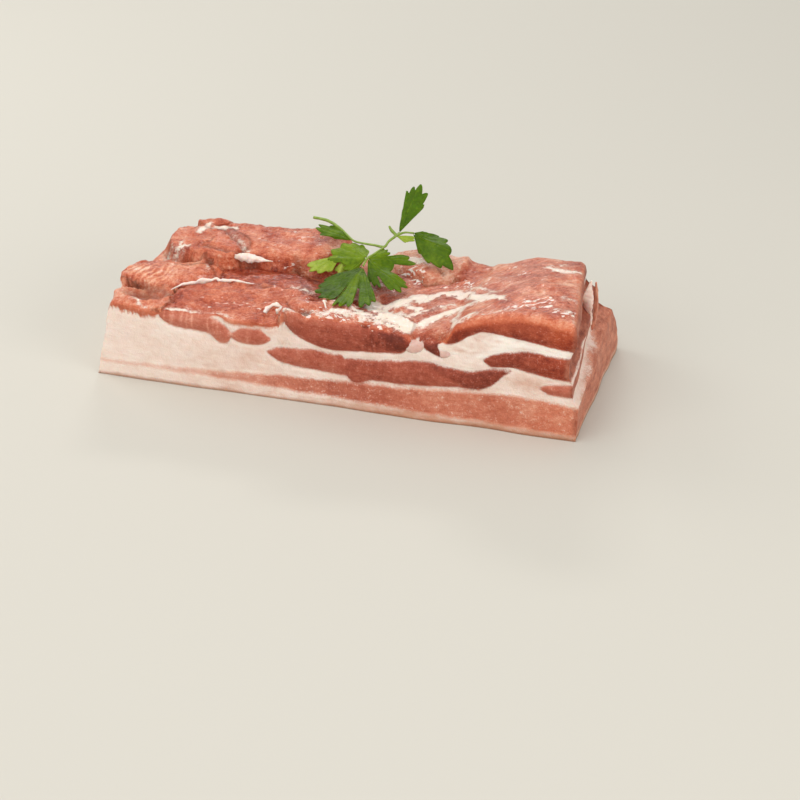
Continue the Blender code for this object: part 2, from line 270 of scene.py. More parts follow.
def layer_depth(layer, x, z):
    """How far inside a layer a place on the cut face lies; negative outside it."""
    inside = np.minimum(z - curve(x, layer.bottom), curve(x, layer.top) - z)
    beyond = np.maximum(layer.bottom[0][0] - x, x - layer.bottom[-1][0])
    return np.where(beyond > 0, np.minimum(inside, 0) - beyond, inside)


def as_on_cut_face(x, y, z, top):
    """The height on the cut face that this place's height answers to, layer for layer."""
    back = np.clip((y + HALF_DEPTH) / (2 * HALF_DEPTH), 0.0, 1.0)
    low_top = LOW_LEAN_TOP + LOW_LEAN_RISE * back
    front_top = top_height(x, np.full_like(x, -HALF_DEPTH + FACE_TOP_IN))
    upper = LOW_LEAN_TOP + (z - low_top) * (front_top - LOW_LEAN_TOP) / np.maximum(top - low_top, 5.0)
    return np.where(z < low_top, z * LOW_LEAN_TOP / low_top, upper)


END_LEAN_RISE = 4.5  # the lowest lean reaches this much further up the right end at the back


def wall_looks(x, y, z, top, end):
    """Lean depth and tones where a wall shows the layers, for places with this height of top over them;
    end is 1 on the right end."""
    back = np.clip((y + HALF_DEPTH) / (2 * HALF_DEPTH), 0.0, 1.0)
    as_seen = z
    z = as_on_cut_face(x, y, z, top)
    z = z - END_LEAN_RISE * back * end * step(z, 6.0, 20.0) * step(-z, -34.0, -26.0)
    wander = step(back, 0.02, 0.25)
    z = z + wander * 1.3 * noise(x, y, z * 0.7, 21.0, 11) * step(z, 1.0, 8.0)
    x = x + wander * 5.0 * noise(x, y, z, 33.0, 12)
    z = z + 0.45 * noise(x, y, z, 8.0, 17, 3)
    depths = np.array([layer_depth(layer, x, z) for layer in LAYERS])
    best = depths.argmax(axis=0)
    lean = depths.max(axis=0)
    tone = np.array([layer.tone for layer in LAYERS])[best]
    ragged = np.array([layer.ragged for layer in LAYERS])[best]
    found = {layer.name: best == place for place, layer in enumerate(LAYERS)}
    tops = {layer.name: layer.top for layer in LAYERS}

    def only(name, value):
        """The value within the layer of this name, and nothing elsewhere."""
        return np.where(found[name], value, 0.0)

    tone += only("lowest", 0.10 * step(-x, 30.0, 80.0) - 0.15 * swell(x, 8.0, 34.0))
    under_edge = curve(x, tops["middle"]) - z
    over_cartilage = step(x, 24.0, 32.0)
    lines = 0.5 + 0.5 * np.sin(2 * math.pi * (x / 1.5 + 0.5 * noise(x, 0.0, 0.2 * z, 3.0, 39, 2)))
    tone += only("middle", 0.16 * step(z, 42.0, 47.0) * step(-x, -18.0, 0.0)
                 - 0.22 * step(x, 10.0, 24.0) * step(z, 34.0, 38.0)
                 + 0.22 * over_cartilage * step(-under_edge, -2.6, -0.8)
                 + 0.10 * lines**3 * step(x, 8.0, 16.0) * step(-x, -34.0, -28.0))
    split = curve(x, [(42, 33), (48, 30.5), (57, 26.3), (64, 22.9), (70, 20)])
    tone -= only("low_right", 0.14 * step(z - split, 0.0, 1.0) * step(x, 44.0, 52.0))
    seam = only("low_right", swell(z, split, 0.6) * step(x, 44.0, 50.0) * step(-x, -76.0, -70.0))
    phase = x / 4.1 + 0.6 * noise(x, 0.0, 0.25 * z, 7.0, 36, 2)
    ribs = only("ribbed", 0.5 + 0.5 * np.sin(phase * 2 * math.pi)) ** 3
    ribs = ribs * (0.55 + 0.45 * noise(x, 0.0, z, 5.0, 42, 2))
    tone += 0.26 * ribs * step(z, 30.5, 36.5) + only("ribbed", 0.10 * step(z, 36.0, 40.0))
    fringe = noise(x / 0.5, 0.0, 0.18 * z, 1.6, 43, 2) * (1.0 - wander)
    lean += 1.5 * fringe * step(-x, 84.0, 90.0) * step(z, 33.0, 36.0) * step(-z, -43.0, -40.0)

    fat = 0.58 - 0.30 * step(x, -30.0, 60.0) * step(-z, -24.0, -16.0) - 0.17 * swell(x, -48.0, 22.0)
    fat -= 0.25 * step(-z, -6.0, -3.0) * step(x, -60.0, 20.0)
    wedge = step(x, 55.0, 62.0) * step(z, 32.5, 36.0)
    strand = noise(x / 4.0, 0.0, z + 0.35 * (x - 60.0) * step(-x, -74.0, -66.0), 1.5, 41, 3)
    fat += wedge * (0.06 + 0.34 * strand + 0.25 * step(x, 66.0, 82.0))
    fat -= 0.35 * swell(x, 98.0, 16.0) * swell(z, 28.0, 4.5)

    rim = only("top", step(as_seen - top, -4.2, -1.8))
    low_crown = step(-z, -56.0, -51.0)
    tone += 0.24 * rim + only("top", 0.05 * step(x, 98.0, 108.0) - 0.06 - 0.12 * low_crown)
    warm = (only("top", 0.7 * rim + 0.6 + 0.8 * step(x, 102.0, 112.0))
            + only("right", 0.2 + 0.4 * step(x, 90.0, 105.0)) + only("flaps", 0.7)
            + only("lowest", 0.55 + 0.25 * step(x, 80.0, 110.0))
            + only("middle", 0.8 * over_cartilage * step(-under_edge, -3.0, -1.0)))
    return {"lean": lean, "tone": tone, "fat": fat, "ragged": ragged, "warm": warm,
            "level": z, "painted_shade_and_seam": 0.8 * seam, "specks": 0.25 + only("lowest", 0.75),
            "dried": 0.36 + only("lowest", 0.10) - 0.10 * back * step(z, 30.0, 40.0),
            "veil": only("lowest", across(0.45, 0.06, step(x, -95.0, -15.0))),
            "white": NO_WHITE, "painted_sheen": 0.0, "glint": 0.0}


# ---- the slab's top

Stroke = namedtuple("Stroke", "path width lift")
# Fat and torn film lying on the top, as paths of points (x, y) with a half width and a thickness.
WHITE_STROKES = [
    Stroke([(22, -20), (31, -12), (38, -12), (44, -7), (54, -10), (65, -17), (75, -23)], 3.1, 0.3),  # broad
    Stroke([(40, -40), (45, -32), (51, -27), (58, -23), (66, -22)], 2.6, 0.3),  # and the one before it
    Stroke([(44, -22), (52, -19)], 1.3, 0.2),
    Stroke([(30, -19), (37, -23)], 1.5, 0.2),
    Stroke([(35, -28), (43, -24)], 1.3, 0.2),
    Stroke([(27, -25), (34, -31)], 1.6, 0.2),
    Stroke([(57, -4), (66, -7), (72, -13)], 0.9, 0.2),
    Stroke([(57, -26), (57.5, -38), (59.5, -47)], 1.2, 0.5),  # tongue down to the cut face
    Stroke([(61, -46), (63, -41.5), (68, -38)], 0.8, 0.3),
    Stroke([(11, -17), (20, -26), (28, -36), (36, -43)], 3.9, 0.1),  # fat above the ribs' cartilage
    Stroke([(-13, -44), (3, -41), (12, -38.5), (22, -38)], 2.2, 0.2),
    Stroke([(-2, -31), (8, -34), (18, -37)], 1.5, 0.2),
    Stroke([(6, -25), (16, -31), (25, -38)], 1.4, 0.2),
    Stroke([(22, -41), (32, -44.5)], 1.1, 0.1),
    Stroke([(17, 24.5), (22, 23.3), (28, 22)], 2.0, 0.4),
    Stroke([(91, 17.0), (101, 16.4), (111, 16.6)], 2.3, 0.3),
    Stroke([(95.5, 25), (97, 25.5)], 0.7, 0.3),
    Stroke([(105, -36.5), (111, -35), (115, -32)], 0.8, 0.3),
    Stroke([(105, -20), (111, -19.7)], 0.6, 0.2),
    Stroke([(112.5, -36.5), (115, -42)], 0.3, 0.2),
    Stroke([(-91.5, 23), (-89.5, 29)], 1.8, 0.3),
    Stroke([(-84, 27.3), (-75, 28)], 2.1, 0.4),
    Stroke([(-75, 22), (-68, 15), (-62.5, 9)], 0.5, 0.2),
    Stroke([(-108, 8), (-99, 5), (-91.5, 6.4)], 0.7, 0.3),
    Stroke([(-97.5, 6), (-98.5, 11)], 0.5, 0.2),
    Stroke([(-78, -3), (-76, -10)], 0.2, 0.2),
    Stroke([(-106.5, -40.5), (-98, -43), (-93, -46)], 0.6, 0.2),
    Stroke([(-84, -46), (-66, -46.5), (-52, -46)], 0.9, 0.3),
    Stroke([(-24, -46), (-19, -46.5)], 1.0, 0.4),
    Stroke([(-29, -15), (-20, -15.6)], 0.7, 0.2),
]
# Dents in the top, as paths of points (x, y) with a half width and a depth, each with painted shade along
# it.
SHADED_DENTS = [
    Stroke([(-82, 7), (-70, 5), (-57, 4.5)], 2.4, -1.6),  # crease below the back flap
    Stroke([(-72, -17), (-62, -18.5), (-50, -19), (-38, -20)], 1.0, -1.0),  # behind the front flap
    Stroke([(-34, 6), (-26, -1), (-20, -4)], 3.0, -1.0),
    Stroke([(-94, -6), (-86, -4), (-77, -2)], 1.1, -1.0),
    Stroke([(-90, 28), (-80, 25), (-75, 20), (-68, 13), (-62, 6)], 0.9, -1.3),  # around the long lobe
    Stroke([(-78, -3), (-73, -8), (-70, -14)], 0.9, -0.8),
    Stroke([(-114, -26), (-104, -28), (-94, -28), (-87, -32)], 2.2, -1.6),  # below the ribbed flap
    Stroke([(-87, -32), (-84, -40)], 0.9, -0.8),
    Stroke([(-52, -20.7), (-39, -22), (-30, -16)], 0.5, -0.5),
    Stroke([(-28, -30), (-25, -38), (-20, -45)], 0.7, -1.0),
    Stroke([(-87, 5.6), (-85, 9), (-82, 11.5), (-82.6, 16)], 0.7, -0.8),
    Stroke([(34, 19.5), (38.5, 16.5)], 0.9, -0.5),
]
# Where wet surface catches the light in small flecks, painted into the colour as highlights; lift is how
# much of it does.
GLINTS = [
    Stroke([(73, -42), (84, -38.5), (90, -31), (101, -24)], 3.2, 1.0),
    Stroke([(66, -44), (70, -41), (76, -39)], 1.6, 0.9),
    Stroke([(87, -43), (96, -35), (102, -30)], 2.2, 1.0),
    Stroke([(67, 7), (75, 7.5), (81, 11.5)], 2.6, 0.9),
    Stroke([(71, 24), (78, 23)], 2.2, 0.8),
    Stroke([(44, 3), (52, 5), (59, -4), (64, 1)], 3.4, 0.9),
    Stroke([(15, 16), (27, 15), (25, 9)], 3.6, 0.9),
    Stroke([(34, 8), (42, 12), (50, 16)], 2.4, 0.6),
    Stroke([(90, 0), (92, 5)], 1.4, 0.7),
    Stroke([(104, -37), (114, -38)], 2.6, 0.9),
    Stroke([(-58, 18), (-50, 12)], 4.0, 0.45),
    Stroke([(-45, 32), (-37, 19), (-33, 26), (-25, 13)], 4.5, 0.5),
    Stroke([(-45, 6), (-36, 8)], 3.0, 0.45),
    Stroke([(-24, -27), (-15, -36)], 3.2, 0.6),
    Stroke([(-115, -18), (-94, -20)], 4.0, 0.35),
    Stroke([(-72, -38), (-50, -33), (-34, -36)], 5.0, 0.35),
    Stroke([(-104, -38), (-95, -37)], 3.0, 0.4),
]
# Hollows in the top, each with painted shade in it.
Hollow = namedtuple("Hollow", "x y half_x half_y depth")
HOLLOWS = [
    Hollow(-14.5, -43.5, 4.6, 2.8, 3.6),  # torn hole at the left of the cut muscle
    Hollow(-12, -33, 4.0, 2.6, 2.0),
    Hollow(15.7, -44.6, 2.6, 2.2, 3.0),
    Hollow(5, -23, 5.0, 4.0, 2.5),
    Hollow(-100, -34.0, 12.5, 7.0, 4.2),  # mouth between the ribbed flap and the lip before it
]


def stroke_distance(stroke, x, y):
    """Distance from each place to the stroke's path."""
    nearest = np.full_like(x, 1e9)
    for start, end in zip(stroke.path, stroke.path[1:]):
        start, reach = np.array(start, float), np.subtract(end, start)
        share = np.clip(((x - start[0]) * reach[0] + (y - start[1]) * reach[1]) / (reach @ reach), 0, 1)
        away = np.hypot(x - start[0] - share * reach[0], y - start[1] - share * reach[1])
        nearest = np.minimum(nearest, away)
    return nearest


def bent(x, y):
    """The places shifted a little, so that what is drawn from them wanders."""
    return x + 1.3 * noise(x, y, 0.0, 7.0, 34), y + 1.3 * noise(x, y, 0.0, 7.0, 35)


def near(strokes, x, y, wide, narrow):
    """Each stroke with how near its path a place is: 0 beyond wide times its width, and 1 within
    narrow times it."""
    x, y = bent(x, y)
    for stroke in strokes:
        yield stroke, step(-stroke_distance(stroke, x, y), -wide * stroke.width, -narrow * stroke.width)


def hollow_share(hollow, x, y):
    out = np.hypot((x - hollow.x) / hollow.half_x, (y - hollow.y) / hollow.half_y)
    return step(-out, -1.15, -0.35)


def fibre_angle(best):
    turns = np.array([math.radians(muscle.fibre) for muscle in MUSCLES] + [0.0])
    return turns[best]


def torn_share(x, y):
    """1 where the cut muscle's top is torn, along the cut face."""
    return step(x, -22.0, -14.0) * step(-x, -34.0, -26.0) * step(-y, 37.0, 41.0)


def top_relief(x, y):
    """What the fine surface adds to the height of the muscles."""
    heights = muscle_heights(x, y)
    best = heights.argmax(axis=0)
    turn = fibre_angle(best)
    along = x * np.cos(turn) + y * np.sin(turn)
    beside = y * np.cos(turn) - x * np.sin(turn)
    relief = 1.0 * noise(x, y, 0.0, 12.0, 21, 2)
    relief += 0.42 * noise(along / 2.2, beside, 3.0 * best, 3.2, 22, 2)
    relief += 0.42 * noise(x, y, 0.0, 2.8, 23, 2)
    relief = relief * across(1.0, 0.55, step(x, 40.0, 70.0))
    torn = torn_share(x, y)
    relief += torn * (1.1 * noise(x, y, 0.0, 4.0, 24, 3) - 0.5)
    for stroke, share in near(WHITE_STROKES + SHADED_DENTS, x, y, 1.6, 0.0):
        relief += stroke.lift * share
    for hollow in HOLLOWS:
        relief -= hollow.depth * hollow_share(hollow, x, y)
    return relief


RIB_SPACING = 3.6  # pale ribs across the flap over the left end


def top_looks(x, y):
    """The open top's looks, and which muscle each place is on."""
    heights = muscle_heights(x, y)
    order = np.sort(heights, axis=0)
    best = heights.argmax(axis=0)
    tones = np.array([muscle.tone for muscle in MUSCLES] + [0.75])
    tone = tones[best] - 0.05 + 0.13 * noise(x, y, 5.0, 13.0, 31, 2)
    phase = (x - 0.25 * y) / RIB_SPACING + 0.9 * noise(x, y, 0.0, 9.0, 38, 2)
    ribbed = swell(x, -104.0, 13.0) * swell(y, -17.0, 8.0)
    tone += ribbed * (0.42 * (0.5 + 0.5 * np.sin(phase * 2 * math.pi)) ** 2 + 0.03)
    gap = order[-1] - order[-2]
    white = np.full_like(x, NO_WHITE)
    bent_x, bent_y = bent(x, y)
    for stroke in WHITE_STROKES:
        width = stroke.width * (1.0 + 0.6 * noise(x, y, 0.0, 4.5, 32, 3))
        white = np.maximum(white, width - stroke_distance(stroke, bent_x, bent_y))
    torn = torn_share(x, y)
    # Painted highlights: glint flecks on the torn top and along the glint paths.
    glint = 0.8 * torn
    for stroke, share in near(GLINTS, x, y, 1.5, 0.4):
        glint = np.maximum(glint, stroke.lift * share)
    # Painted shade: darker where two muscles meet on the left part of the top, along the dents and in the
    # hollows.
    painted_shade_share = 0.5 * step(-gap, -1.2, 0.0) * step(-x, 0.0, 25.0)
    for _, share in near(SHADED_DENTS, x, y, 1.3, 0.0):
        painted_shade_share = np.maximum(painted_shade_share, share)
    for hollow in HOLLOWS:
        painted_shade_share = np.maximum(painted_shade_share, hollow_share(hollow, x, y))
    rim = step(-y, HALF_DEPTH - 5.0, HALF_DEPTH - 1.0) * step(x, 46.0, 54.0)
    orange = 0.62 + 0.38 * noise(x, y, 9.0, 22.0, 33, 2) + 0.3 * step(-x, -10.0, 40.0)
    warm = np.clip(np.maximum(orange, 1.3 * np.maximum(rim, torn)), 0.0, 1.3)
    # Painted sheen: where pale streaks stand in for wet highlights, over the top from the middle rightwards.
    painted_sheen = step(x, 20.0, 45.0) * (0.45 + 0.55 * step(noise(x, y, 3.0, 26.0, 37, 2), -0.2, 0.5))
    looks = {"lean": 4.0, "fat": 0.85, "ragged": 0.8, "specks": 0.35, "veil": 0.0, "warm": warm,
             "tone": tone + 0.06 * torn, "white": white, "painted_shade_and_seam": painted_shade_share, "painted_sheen": painted_sheen, "glint": glint}
    return looks, best


# ---- the slab's mesh

FACES_LONG, FACES_DEEP, FACES_HIGH = 284, 110, 44
EDGE_CROWDING = 0.35


def edge_drop(distance, radius):
    """How far a rounded edge lies below the flat top at a distance in from the wall."""
    inside = np.clip(1.0 - distance / radius, 0.0, 1.0)
    return radius * (1.0 - np.sqrt(1.0 - inside**2))


END_REACH = 0.14  # share of the length over which the ends' slants fade out
OPEN_START, OPEN_FULL = 0.15, 0.6  # where the top's looks begin and are full, in edge radii


def along_slab(u, left, right):
    """X of shares of the length between two ends, with upright columns except near the ends."""
    near_left, near_right = step(-u, -END_REACH, 0.0), step(u, 1.0 - END_REACH, 1.0)
    upright = across(LEFT_FOOT, RIGHT_FOOT, u)
    return upright + (left - LEFT_FOOT) * near_left + (right - RIGHT_FOOT) * near_right


def slab_point(u, v, w):
    """Places on the slab for shares of its length, depth and height, and how much each belongs to the
    top's open surface."""
    z = np.full_like(u, BED_HEIGHT)
    for _ in range(3):
        left, right = left_end(v, z), right_end(v, z)
        x = along_slab(u, left, right)
        front = front_face(x, z)
        y = across(front, back_face(z), v)
        z = top_height(x, y)
    top = z + top_relief(x, y)
    gaps = [x - left, right - x, y - front, back_face(z) - y]
    front_round = across(FRONT_ROUND, SOFT_EDGE_ROUND, step(x, SOFT_EDGE_START, SOFT_EDGE_FULL))
    radii = [LEFT_ROUND, RIGHT_ROUND, front_round, BACK_ROUND]
    drops = [edge_drop(gap, radius) for gap, radius in zip(gaps, radii)]
    edge = top - np.sqrt(sum(drop**2 for drop in drops))
    open_top = np.where(w >= 1.0, 1.0, 0.0)
    for gap, radius in zip(gaps, radii):
        open_top = open_top * step(gap, OPEN_START * radius, OPEN_FULL * radius)
    z = w * edge
    y = across(-HALF_DEPTH, back_face(z), v)
    x = along_slab(u, left_end(v, z) + end_relief(y, z, 14), right_end(v, z) + end_relief(y, z, 15))
    y = across(front_face(x, z), back_face(z) + back_relief(x, z), v)
    return x, y, z, open_top


def crowded(count):
    """count + 1 shares from 0 to 1, closer together towards both ends."""
    even = np.linspace(0.0, 1.0, count + 1)
    return across(even, 0.5 - 0.5 * np.cos(math.pi * even), EDGE_CROWDING)


def slab_grid():
    """Shares of every vertex on the slab's surface, and the faces between them."""
    counts = (FACES_LONG, FACES_DEEP, FACES_HIGH)
    shape = tuple(count + 1 for count in counts)
    steps = np.indices(shape).reshape(3, -1).T
    on_surface = ((steps == 0) | (steps == np.array(counts))).any(axis=1)
    number = np.full(shape, -1)
    number[tuple(steps[on_surface].T)] = np.arange(on_surface.sum())
    faces = []
    for axis in range(3):
        for side in (0, counts[axis]):
            sheet = np.take(number, side, axis=axis)
            if axis == 1:
                sheet = sheet.T
            ring = np.stack([sheet[:-1, :-1], sheet[1:, :-1], sheet[1:, 1:], sheet[:-1, 1:]], axis=-1)
            ring = ring.reshape(-1, 4)
            faces.append(ring if side else ring[:, ::-1])
    shares = (crowded(FACES_LONG), crowded(FACES_DEEP), np.linspace(0.0, 1.0, FACES_HIGH + 1))
    u, v, w = (shares[axis][steps[on_surface][:, axis]] for axis in range(3))
    return u, v, w, np.concatenate(faces)


def new_mesh_object(name, points, faces, attributes=None):
    """An object from points in millimetres; attributes give one number for each vertex."""
    mesh = bpy.data.meshes.new(name)
    mesh.from_pydata((np.asarray(points) * MM).tolist(), [], [list(map(int, face)) for face in faces])
    for label, values in (attributes or {}).items():
        kind = "FLOAT_VECTOR" if np.ndim(values) == 2 else "FLOAT"
        field = "vector" if np.ndim(values) == 2 else "value"
        made = mesh.attributes.new(label, kind, "POINT")
        made.data.foreach_set(field, np.ascontiguousarray(values, np.float32).ravel())
    mesh.update()
    mesh.shade_smooth()
    made = bpy.data.objects.new(name, mesh)
    bpy.context.scene.collection.objects.link(made)
    return made


def make_slab():
    u, v, w, faces = slab_grid()
    x, y, z, open_top = slab_point(u, v, w)
    back = (y + HALF_DEPTH) / (2 * HALF_DEPTH)
    end = step(x - right_end(back, z), -3.0, -0.5)
    wall = wall_looks(x, y, z, top_height(x, np.maximum(y, -HALF_DEPTH + FACE_TOP_IN)), end)
    top, best = top_looks(x, y)
    angle = fibre_angle(best)
    cos, sin = np.cos(angle), np.sin(angle)
    attributes = {label: across(wall[label], top[label], open_top) for label in top}
    attributes["open_top"] = open_top
    attributes["dry"] = end * (1.0 - open_top)
    attributes["dried"] = wall["dried"]
    attributes["skin"] = step(-wall["level"], -2.2, -0.6)
    attributes["grain"] = np.stack([x * cos + y * sin, y * cos - x * sin, z], axis=1)
    return new_mesh_object("belly", np.stack([x, y, z], axis=1), faces, attributes)


# ---- shreds, films and the parsley's stems


def smooth_route(points, spacing):
    """Points along a smooth curve through the given ones, about this far apart."""
    points = np.array(points, float)
    padded = np.concatenate([2 * points[:1] - points[1:2], points, 2 * points[-1:] - points[-2:-1]])
    route = []
    for before, start, end, after in zip(padded, padded[1:], padded[2:], padded[3:]):
        count = max(1, round(np.linalg.norm(end - start) / spacing))
        for t in np.arange(count) / count:
            route.append(
                0.5 * (2 * start + (end - before) * t + (2 * before - 5 * start + 4 * end - after) * t**2
                       + (3 * start - before - 3 * end + after) * t**3)
            )
    return np.array(route + [points[-1]])


STRAND_SPACING = 0.5


def strand_mesh(points, wide, tall, spacing, sides, rough, seed=50):
    """A closed strand along a route. wide and tall are its half width and half height, each a list of
    values spread evenly from end to end; rough makes its surface uneven by that share."""
    route = smooth_route(points, spacing)
    heading = np.gradient(route, axis=0)
    share = np.linspace(0.0, 1.0, len(route))
    half_wide, half_tall = (np.interp(share, np.linspace(0, 1, len(sizes)), sizes) for sizes in (wide, tall))
    turns = np.arange(sides)[:, None] * 2 * math.pi / sides
    placed = []
    for place, ahead, across_size, up_size in zip(route, heading, half_wide, half_tall):
        side = unit(np.cross(ahead, (0.05, 0.11, 1.0)))
        up = unit(np.cross(side, ahead))
        offset = across_size * np.cos(turns) * side + up_size * np.sin(turns) * up
        bulge = 1.0 + rough * noise(*(place + 2.0 * offset).T, 2.0, seed, 2)
        placed.append(place + offset * bulge[:, None])
    faces = [list(range(sides))]
    for ring, k in itertools.product(range(len(route) - 1), range(sides)):
        start, after = ring * sides + k, ring * sides + (k + 1) % sides
        faces.append([start, start + sides, after + sides, after])
    last = (len(route) - 1) * sides
    faces.append([last + k for k in reversed(range(sides))])
    return np.concatenate(placed), faces


def over_top(path, lift):
    """Places on the slab's fine top under a path of points (x, y), lifted by this much. A path of
    points (x, y, z) stays as it is."""
    path = np.array(path, float)
    if path.shape[1] == 3:
        return path
    x, y = path.T
    return np.stack([x, y, top_height(x, y) + top_relief(x, y) + lift], axis=1)


Strand = namedtuple("Strand", "kind path lift wide tall")
# Shreds and lumps on the top; what stands up from the right end at the back, a strip of film and the
# sliver of lean on its edge; and the cut ends of two ribs' cartilage on the cut face.
STRANDS = {
    "torn_rim": Strand("fat", [
        (-88, -29, 42.6), (-84.5, -25, 43.6), (-80, -22.5, 44.2), (-73.5, -20, 45), (-70.2, -19.5, 45.6),
        (-68.1, -19, 46.6), (-65.8, -19.5, 46), (-62, -20, 46.6), (-58.1, -20.5, 47.6), (-53.8, -20.5, 47.4),
        (-48.1, -20.5, 47)], 0.0,
        [0.2, 0.4, 0.5, 0.4, 0.6, 0.35, 0.5, 0.3, 0.1], [0.2, 0.6, 0.7, 1.3, 0.5, 1.0, 0.5, 0.6, 0.1]),
    "fat_spindle": Strand("fat", [(-65.5, 1.5, 49.6), (-60, 1.8, 49.2), (-53, 3, 48.4), (-46.5, 4.4, 47.6)],
        0.0, [0.8, 2.0, 1.6, 0.8, 0.2], [1.0, 2.3, 1.6, 0.8, 0.2]),
    "torn_lump_0": Strand("fat", [(-35.2, -40.5), (-35, -37), (-32.5, -34), (-28.5, -34.5)],
        0.3, [0.6, 1.4, 0.8, 1.2, 0.3], [0.6, 1.2, 0.8, 1.0, 0.3]),
    "torn_lump_1": Strand("fat", [(-30.6, -37.8), (-28, -40), (-26, -43.5)],
        0.4, [0.5, 1.6, 1.0, 1.3, 0.3], [0.5, 1.2, 0.9, 1.0, 0.3]),
    "loose_shred": Strand("fat", [(-27, -33), (-25.5, -37), (-26, -43)],
        0.3, [0.3, 0.7, 0.3], [0.3, 0.6, 0.3]),
    "long_shred": Strand("fat", [(-8, -22), (-6, -28), (-7, -35), (-5, -39)],
        0.6, [0.2, 0.8, 1.0, 0.4], [0.3, 0.6, 0.6, 0.4]),
    "membrane": Strand("film", [
        (110.4, 18, 24), (110.6, 18, 33), (110.5, 18, 40), (110.9, 18, 46), (111.8, 18, 51.5)], 0.0,
        [0.8, 2.4, 3.3, 3.0, 3.3, 3.0, 2.6, 2.2, 1.4, 0.5],
        [0.6, 0.9, 0.8, 0.9, 0.7, 0.7, 0.6, 0.6, 0.5, 0.3]),
    "lean_sliver": Strand("lean", [
        (113.0, 19, 24), (114.4, 19.5, 32), (114.6, 20, 38), (114.3, 20, 43.5), (113.8, 20, 50)], 0.0,
        [0.5, 1.3, 1.0, 1.5, 1.1, 1.3, 0.9, 0.4], [0.8, 1.2, 1.0, 1.1, 0.9, 0.9, 0.7, 0.4]),
    "cartilage_0": Strand("cartilage", [
        (34.8, -45.2, 37.4), (38.6, -45.5, 38.2), (42.4, -45.5, 39.4), (46.4, -45.2, 40.6)], 0.0,
        [0.2, 1.8, 2.3, 2.4, 2.3, 1.8, 0.2], [0.2, 2.4, 3.3, 3.6, 3.3, 2.4, 0.2]),
    "cartilage_1": Strand("cartilage", [
        (50.6, -45.2, 37.0), (53.4, -45.5, 37.6), (56.8, -45.5, 38.0), (60.0, -45.2, 38.2)], 0.0,
        [0.2, 1.8, 2.3, 2.4, 2.3, 1.8, 0.2], [0.2, 2.1, 2.8, 3.0, 2.8, 2.1, 0.2]),
}
SIDES_AND_ROUGHNESS = {"fat": (14, 0.5), "film": (18, 0.14), "lean": (18, 0.14), "cartilage": (18, 0.04)}


def make_strands(finishes):
    for name, strand in STRANDS.items():
        route = over_top(strand.path, strand.lift)
        sides, rough = SIDES_AND_ROUGHNESS[strand.kind]
        mesh = strand_mesh(route, strand.wide, strand.tall, STRAND_SPACING, sides, rough)
        piece = new_mesh_object(name, *mesh)
        piece.data.materials.append(finishes[strand.kind])
        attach(piece, "root")


# ---- the parsley

Lobe = namedtuple("Lobe", "tips core light")
Leaf = namedtuple("Leaf", "base up lobes")
